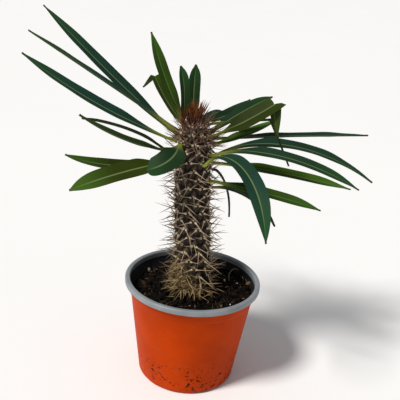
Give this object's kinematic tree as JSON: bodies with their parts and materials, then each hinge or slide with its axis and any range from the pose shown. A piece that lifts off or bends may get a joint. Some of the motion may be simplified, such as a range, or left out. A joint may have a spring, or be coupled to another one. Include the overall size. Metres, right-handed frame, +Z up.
{
  "type": "potted madagascar palm",
  "caption": "Young Madagascar palm with a spiny tubercled stem and a crown of long folded leaves, in a round plastic nursery pot.",
  "frame": {"origin": "centre of the pot's base on the surface that the pot stands on", "axes": "+Z up along the pot's axis, -Y towards the picture's viewer, +X to the picture's right"},
  "size_m": [0.2712, 0.1556, 0.2712],
  "materials": {
    "pot_plastic": "orange formed plastic, satin, with a light grey rim and a dark inner face",
    "peat": "loose dark potting peat with perlite and fibres",
    "bark": "dark grey-brown skin with tubercles and pale tan spines",
    "leaf": "glossy dark green leaf with a pale midrib",
    "dried_leaf": "dead shrivelled leaf, dull dark brown"
  },
  "bodies": {
    "root": {"pot": "pot_plastic", "soil": "peat", "stem": "bark", "leaf_left_1": "leaf", "leaf_left_2": "leaf", "leaf_left_3": "leaf", "leaf_left_4": "leaf", "leaf_left_5": "leaf", "leaf_left_6": "leaf", "leaf_left_7": "leaf", "leaf_front_1": "leaf", "leaf_back_1": "leaf", "leaf_back_2": "leaf", "leaf_back_3": "leaf", "leaf_back_4": "leaf", "leaf_back_5": "leaf", "leaf_back_6": "leaf", "leaf_right_1": "leaf", "leaf_right_2": "leaf", "leaf_right_3": "leaf", "leaf_right_4": "leaf", "leaf_right_5": "leaf", "leaf_right_6": "leaf", "leaf_right_7": "leaf", "leaf_right_8": "leaf", "leaf_right_9": "leaf", "leaf_right_10": "leaf", "leaf_right_11": "leaf", "leaf_right_12": "leaf", "dried_leaf": "dried_leaf"}
  },
  "joints": []
}
